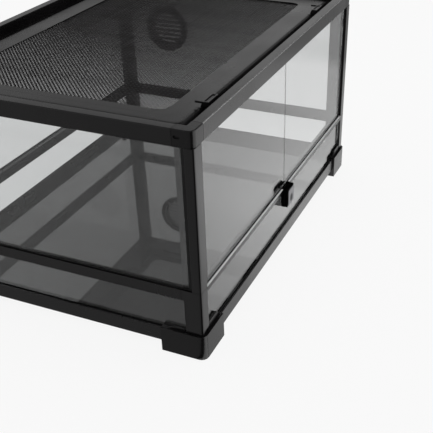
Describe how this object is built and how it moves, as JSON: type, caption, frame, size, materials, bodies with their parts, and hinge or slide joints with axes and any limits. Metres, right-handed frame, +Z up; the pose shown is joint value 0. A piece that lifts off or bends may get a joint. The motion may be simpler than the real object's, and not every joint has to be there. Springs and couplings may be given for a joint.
{
  "type": "terrarium",
  "caption": "Front-opening glass terrarium in a black plastic frame, with hinged doors, a key lock, a mesh lid held by slide latches, and round side vents.",
  "frame": {"origin": "on the floor, under the middle of the whole object's bounding box", "axes": "+Z up, -Y out of the doors, +X to the right along the length as seen from the doors"},
  "size_m": [0.61, 0.462, 0.32],
  "materials": {
    "frame": "satin",
    "moulding": "satin",
    "glass": "polished",
    "seal": "matte",
    "mesh": "satin",
    "trim": "satin",
    "lock_plate": "satin",
    "lock_metal": "satin"
  },
  "bodies": {
    "frame": {"foot_front_left": "moulding", "foot_front_right": "moulding", "foot_back_left": "moulding", "foot_back_right": "moulding", "lower_post_front_left": "frame", "lower_post_front_right": "frame", "lower_post_back_left": "frame", "lower_post_back_right": "frame", "upper_post_front_left": "frame", "upper_post_front_right": "frame", "upper_post_back_left": "frame", "upper_post_back_right": "frame", "top_corner_front_left": "moulding", "top_corner_front_right": "moulding", "top_corner_back_left": "moulding", "top_corner_back_right": "moulding", "base_rail_front": "frame", "base_rail_back": "frame", "base_rail_left": "frame", "base_rail_right": "frame", "top_rail_front": "frame", "top_rail_back": "frame", "top_rail_left": "frame", "top_rail_right": "frame", "mid_rail_back": "frame", "mid_rail_left": "frame", "mid_rail_right": "frame", "door_sill": "frame", "sill_trim_left": "trim", "sill_trim_right": "trim", "floor_pane": "glass", "pane_front_lower": "glass", "pane_back_lower": "glass", "pane_back_upper": "glass", "pane_left_lower": "glass", "pane_left_upper": "glass", "pane_right_lower": "glass", "pane_right_upper": "glass", "pane_seal_back": "seal", "pane_seal_left": "seal", "pane_seal_right": "seal", "vent_left": "moulding", "vent_right": "moulding", "vent_ring_left": "moulding", "vent_ring_right": "moulding", "lock_housing": "moulding", "lock_face": "lock_plate"},
    "door_left": {"door_glass_left": "glass", "door_edge_left": "frame", "door_catch": "moulding"},
    "door_right": {"door_glass_right": "glass", "door_edge_right": "frame"},
    "cylinder": {"lock_cylinder": "lock_metal"},
    "bolt": {"lock_bolt": "lock_metal"},
    "lid": {"lid_frame": "moulding", "lid_mesh": "mesh"},
    "clip_front_left": {"lid_clip_front_left": "moulding"},
    "clip_front_right": {"lid_clip_front_right": "moulding"},
    "clip_back_left": {"lid_clip_back_left": "moulding"},
    "clip_back_right": {"lid_clip_back_right": "moulding"}
  },
  "joints": [
    {"name": "door_left_hinge", "type": "hinge", "parent": "frame", "child": "door_left", "pos_m": [-0.2793, -0.2166, 0.2], "axis": [0, 0, 1], "range_deg": [-95, 0]},
    {"name": "door_right_hinge", "type": "hinge", "parent": "frame", "child": "door_right", "pos_m": [0.2793, -0.2166, 0.2], "axis": [0, 0, 1], "range_deg": [0, 95]},
    {"name": "cylinder_turn", "type": "hinge", "parent": "frame", "child": "cylinder", "pos_m": [0, -0.2225, 0.0862], "axis": [0, 1, 0], "range_deg": [0, 90]},
    {"name": "bolt_rise", "type": "slide", "parent": "frame", "child": "bolt", "axis": [0, 0, 1], "range_m": [0, 0.0045]},
    {"name": "lid_lift", "type": "slide", "parent": "frame", "child": "lid", "axis": [0, 0, 1], "range_m": [0, 0.25]},
    {"name": "clip_front_left_slide", "type": "slide", "parent": "lid", "child": "clip_front_left", "axis": [0, -1, 0], "range_m": [0, 0.003]},
    {"name": "clip_front_right_slide", "type": "slide", "parent": "lid", "child": "clip_front_right", "axis": [0, -1, 0], "range_m": [0, 0.003]},
    {"name": "clip_back_left_slide", "type": "slide", "parent": "lid", "child": "clip_back_left", "axis": [0, 1, 0], "range_m": [0, 0.003]},
    {"name": "clip_back_right_slide", "type": "slide", "parent": "lid", "child": "clip_back_right", "axis": [0, 1, 0], "range_m": [0, 0.003]}
  ],
  "couplings": [
    {"joint": "bolt_rise", "follows": "cylinder_turn", "m_per_rad": 0.002864}
  ]
}
